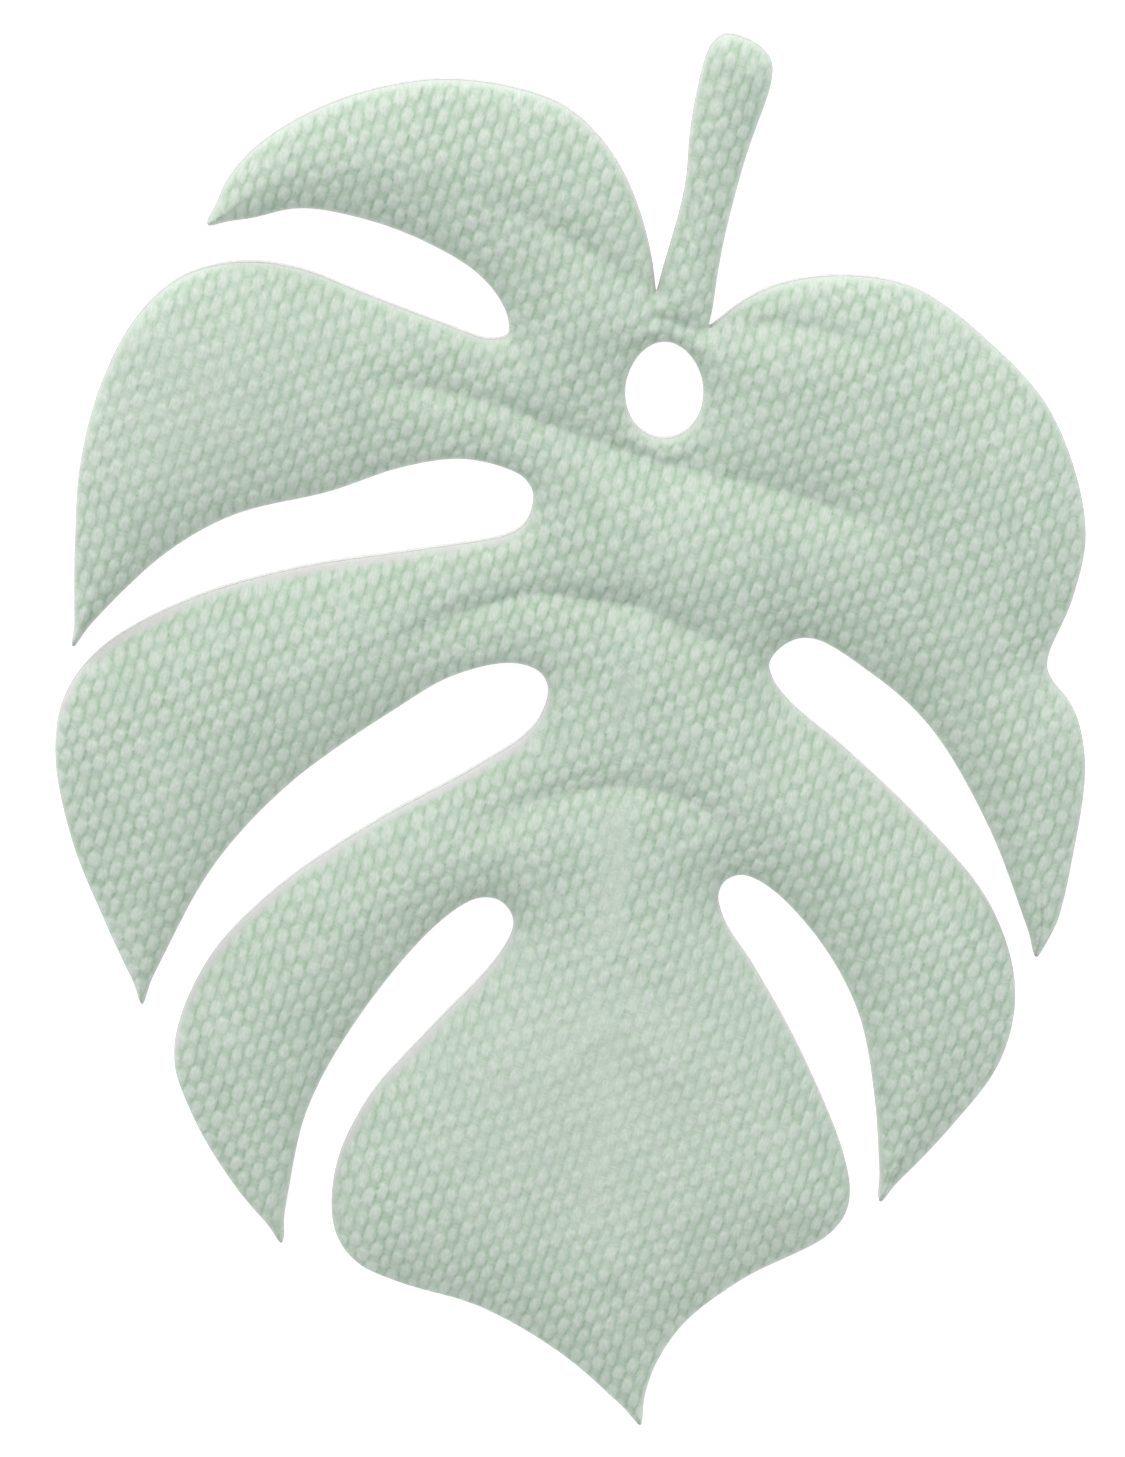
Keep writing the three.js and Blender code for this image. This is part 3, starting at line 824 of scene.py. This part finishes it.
# Fine fibres of one set of threads: a noise drawn out along the thread and turned a little, as a twisted
# yarn's fibres are. coordinates are in threads.
def fibres(tree, coordinates, turn, scale, detail=3.0):
    mapping = node(tree, "ShaderNodeMapping")
    mapping.inputs["Rotation"].default_value = (0, 0, math.radians(turn))
    mapping.inputs["Scale"].default_value = scale
    noise = node(tree, "ShaderNodeTexNoise")
    noise.inputs["Scale"].default_value = 1.0
    noise.inputs["Detail"].default_value = detail
    tree.links.new(coordinates, mapping.inputs["Vector"])
    tree.links.new(mapping.outputs["Vector"], noise.inputs["Vector"])
    return noise.outputs["Fac"]


def mintCanvas():
    material, tree, shader = newMaterial("mint canvas")
    uv = node(tree, "ShaderNodeUVMap", uv_map="threads").outputs["UV"]
    place = node(tree, "ShaderNodeTexCoord").outputs["Object"]
    warpTop = node(tree, "ShaderNodeAttribute", attribute_name="warpOnTop").outputs["Fac"]
    depth = node(tree, "ShaderNodeAttribute", attribute_name="gapShadeDepth").outputs["Fac"]
    edge = node(tree, "ShaderNodeAttribute", attribute_name="cutEdge").outputs["Fac"]
    twist, across, along = clothLook["twist"], clothLook["fibresAcross"], clothLook["fibresAlong"]
    warpFibre = fibres(tree, uv, twist, (across, along, 1.0))
    weftFibre = fibres(tree, uv, -twist, (along, across, 1.0))
    mix = node(tree, "ShaderNodeMix", data_type="FLOAT")
    tree.links.new(warpTop, mix.inputs["Factor"])
    tree.links.new(weftFibre, mix.inputs[2])
    tree.links.new(warpFibre, mix.inputs[3])
    fibre = mix.outputs[0]
    patches = node(tree, "ShaderNodeTexNoise")
    patches.inputs["Scale"].default_value = clothLook["patchScale"]
    tree.links.new(place, patches.inputs["Vector"])
    # Painted shade: the colour goes from crest to flank to the dark gap colour as a point lies deeper
    # between threads.
    upper = mixColour(tree, ranged(tree, depth, 0.05, 0.5), clothLook["crest"], clothLook["flank"])
    deep = mixColour(tree, ranged(tree, depth, 0.45, 1.0), upper, clothLook["gap"])
    byPatch, byFibre = clothLook["patchTone"], clothLook["fibreTone"]
    tone = ranged(tree, patches.outputs["Fac"], 0.3, 0.7, 1 - byPatch, 1 + byPatch)
    grain = ranged(tree, fibre, 0.25, 0.75, 1 - byFibre, 1 + byFibre)
    brighter = arith(tree, "MULTIPLY", tone, grain)
    shade = node(tree, "ShaderNodeVectorMath", operation="SCALE")
    tree.links.new(deep, shade.inputs[0])
    tree.links.new(brighter, shade.inputs["Scale"])
    colour = mixColour(tree, edge, shade.outputs[0], clothLook["cutEdge"])
    tree.links.new(colour, shader.inputs["Base Color"])
    bump = node(tree, "ShaderNodeBump")
    bump.inputs["Distance"].default_value = clothLook["fibreBump"]
    bump.inputs["Strength"].default_value = 1.0
    tree.links.new(fibre, bump.inputs["Height"])
    tree.links.new(bump.outputs["Normal"], shader.inputs["Normal"])
    shader.inputs["Roughness"].default_value = clothLook["rough"]
    shader.inputs["Sheen Weight"].default_value = clothLook["sheen"]
    shader.inputs["Sheen Roughness"].default_value = clothLook["sheenRough"]
    shader.inputs["Specular IOR Level"].default_value = clothLook["shine"]
    return material


def feltMaterial(name, look):
    material, tree, shader = newMaterial(name)
    place = node(tree, "ShaderNodeTexCoord").outputs["Object"]
    scale = look["fineness"]
    fine, crossing = [
        fibres(tree, place, turn, (scale, scale * stretch, scale), feltLook["detail"])
        for turn, stretch in zip(feltLook["turns"], feltLook["stretches"])
    ]
    felt = arith(tree, "MULTIPLY", arith(tree, "ADD", fine, crossing), 0.5)
    colour = mixColour(tree, ranged(tree, felt, *feltLook["contrast"]), look["dark"], look["light"])
    tree.links.new(colour, shader.inputs["Base Color"])
    bump = node(tree, "ShaderNodeBump")
    bump.inputs["Distance"].default_value = look["bump"]
    tree.links.new(felt, bump.inputs["Height"])
    tree.links.new(bump.outputs["Normal"], shader.inputs["Normal"])
    shader.inputs["Roughness"].default_value = feltLook["rough"]
    shader.inputs["Specular IOR Level"].default_value = feltLook["shine"]
    shader.inputs["Sheen Weight"].default_value = feltLook["sheen"]
    return material


mint = mintCanvas()
lilacFelt = feltMaterial("lilac felt", backLook)
whiteFilling = feltMaterial("white filling", fillingLook)
print("leaf: materials ready")

backShape = {
    "wall": [(0.86, 0.015), (0.5, 0.02), (0.14, 0.015)],   # mm up the cut wall, and how far it bulges
    "spacing": 2.2,                                        # mm between points of its flat faces
}
fillingShape = {
    "above": 0.03,           # mm from the back cover up to its flat underside
    "under": 0.15,           # mm that it stays below the front cover's underside
    "least": 0.1,            # mm of thickness at its rim
    "spacing": 1.5,          # mm between its points
}


# The back cover: the rounded outline carried down a slightly bulging wall, closed by two flat faces.
def backCover(material):
    count = sum(map(len, cutLoops))
    outward = np.concatenate([normalsOf(loop) for loop in cutLoops])
    levels = [(crown["backThick"], 0.0), *backShape["wall"], (0.0, 0.0)]
    rings = [
        np.column_stack([allOutline + outward * bulge, np.full(count, level)]) for level, bulge in levels
    ]
    here, following = np.arange(count), nextAlong(cutLoops)
    faces = []
    for ring in range(len(levels) - 1):
        upper, lower = ring * count, (ring + 1) * count
        faces.append(np.stack([upper + following, upper + here, lower + here, lower + following], 1))
    points, fill = coarseFill(allOutline, np.stack([here, following], 1), backShape["spacing"])
    more = points[count:]
    total = len(levels) * count
    upper = np.where(fill < count, fill, fill - count + total)
    lower = np.where(fill < count, fill + (len(levels) - 1) * count, fill - count + total + len(more))
    faces += [upper, lower[:, ::-1]]
    caps = [np.column_stack([more, np.full(len(more), level)]) for level in (crown["backThick"], 0.0)]
    return newPiece("backCover", np.concatenate(rings + caps), faces, material, 0)


def nextAlong(loops):                           # each point's next one, numbered through all loops
    first = np.cumsum([0] + [len(loop) for loop in loops[:-1]])
    return np.concatenate([start + np.roll(np.arange(len(loop)), -1) for start, loop in zip(first, loops)])


def normalsOf(loop):                            # outward from the cloth at each outline point
    run = unit(np.roll(loop, -1, 0) - np.roll(loop, 1, 0))
    return np.column_stack([run[:, 1], -run[:, 0]])


def filling(material):                          # crowned like the cloth over it, flat below
    loops = flatOutline("padding")
    rim = np.concatenate(loops)
    here, following = np.arange(len(rim)), nextAlong(loops)
    points, fill = coarseFill(rim, np.stack([here, following], 1), fillingShape["spacing"])
    low = crown["edgeLow"] + fillingShape["above"]
    roof = crown["edgeLow"] + sampled(bodyRise, points) - fillingShape["under"]
    roof = np.maximum(roof, low + fillingShape["least"])
    count = len(points)
    base = np.full(count, low)
    places = np.concatenate([np.column_stack([points, roof]), np.column_stack([points, base])])
    wall = np.stack([following, here, here + count, following + count], 1)
    return newPiece("filling", places, [fill, fill[:, ::-1] + count, wall], material, 1)


front = frontCover(mint)
print("leaf: front cover of", len(front.data.polygons), "faces")
back = backCover(lilacFelt)
inside = filling(whiteFilling)
print("leaf: back cover and filling made")

for piece, nodeName, slotName in (
    (front, "front_cover", "woven_cloth"),
    (back, "back_cover", "backing_cloth"),
    (inside, "padding", "filling"),
):
    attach(piece, "root")
    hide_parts(nodeName)

studio = {
    "floor": (0.90, 0.90, 0.90),
    "floorGlow": 0.5,         # a light table's own light
    "sky": 0.70,
    "keyPower": 7.0,
    "keyRise": 36,            # degrees above the floor
    "keyTurn": 6,             # degrees to the left of the stalk's direction
    "keySize": 0.5,           # m across
    "keyDistance": 1.2,       # m from the leaf
    "keyColour": (1.0, 0.985, 0.93),
    "skyColour": (0.98, 0.995, 1.0),
}
viewpoint = {
    "lens": 200.0,            # mm
    "sensor": 36.0,           # mm, the picture's height behind that lens
    "tilt": 15.0,             # degrees from straight above, towards the stalk
    "pictureHeight": 126.76,  # mm seen at the leaf, from top to bottom
    "target": (-0.67, 1.53, 2.0),
}


def floorPiece():
    far, drop = 1.6, -0.00004                   # m to each side, and below the leaf
    corners = [(-far, -far, drop), (far, -far, drop), (far, far, drop), (-far, far, drop)]
    mesh = bpy.data.meshes.new("floor")
    mesh.from_pydata(corners, [], [(0, 1, 2, 3)])
    floor = bpy.data.objects.new("floor", mesh)
    bpy.context.scene.collection.objects.link(floor)
    material, _, shader = newMaterial("pale floor")
    shader.inputs["Base Color"].default_value = (*studio["floor"], 1)
    shader.inputs["Roughness"].default_value = 0.8
    shader.inputs["Specular IOR Level"].default_value = 0.1
    shader.inputs["Emission Color"].default_value = (1, 1, 1, 1)
    shader.inputs["Emission Strength"].default_value = studio["floorGlow"]
    mesh.materials.append(material)
    return floor


def keyLight():
    data = bpy.data.lights.new("key", "AREA")
    data.shape = "DISK"
    data.size = studio["keySize"]
    data.energy = studio["keyPower"]
    data.color = studio["keyColour"]
    light = bpy.data.objects.new("key", data)
    rise, turn = math.radians(studio["keyRise"]), math.radians(studio["keyTurn"])
    direction = Vector((-math.sin(turn) * math.cos(rise), math.cos(turn) * math.cos(rise), math.sin(rise)))
    light.location = direction * studio["keyDistance"]
    light.rotation_euler = direction.to_track_quat("Z", "Y").to_euler()
    bpy.context.scene.collection.objects.link(light)


def placeCamera():
    data = bpy.data.cameras.new("camera")
    data.lens = viewpoint["lens"]
    data.sensor_width = viewpoint["sensor"]
    data.clip_start = 0.01
    camera = bpy.data.objects.new("camera", data)
    tilt = math.radians(viewpoint["tilt"])
    distance = viewpoint["lens"] / viewpoint["sensor"] * viewpoint["pictureHeight"] * mm
    back = Vector((0, math.sin(tilt), math.cos(tilt)))
    up = Vector((0, math.cos(tilt), -math.sin(tilt)))
    right = Vector((1, 0, 0))
    turn = Matrix((right, up, back)).transposed()
    spot = Vector(viewpoint["target"]) * mm + back * distance
    camera.matrix_world = Matrix.Translation(spot) @ turn.to_4x4()
    bpy.context.scene.collection.objects.link(camera)
    bpy.context.scene.camera = camera


floorPiece()
keyLight()
world = bpy.data.worlds.new("world")
world.use_nodes = True
world.node_tree.nodes["Background"].inputs["Color"].default_value = (*studio["skyColour"], 1)
world.node_tree.nodes["Background"].inputs["Strength"].default_value = studio["sky"]
bpy.context.scene.world = world
bpy.context.scene.view_settings.view_transform = "Standard"
placeCamera()
print("leaf: studio ready")
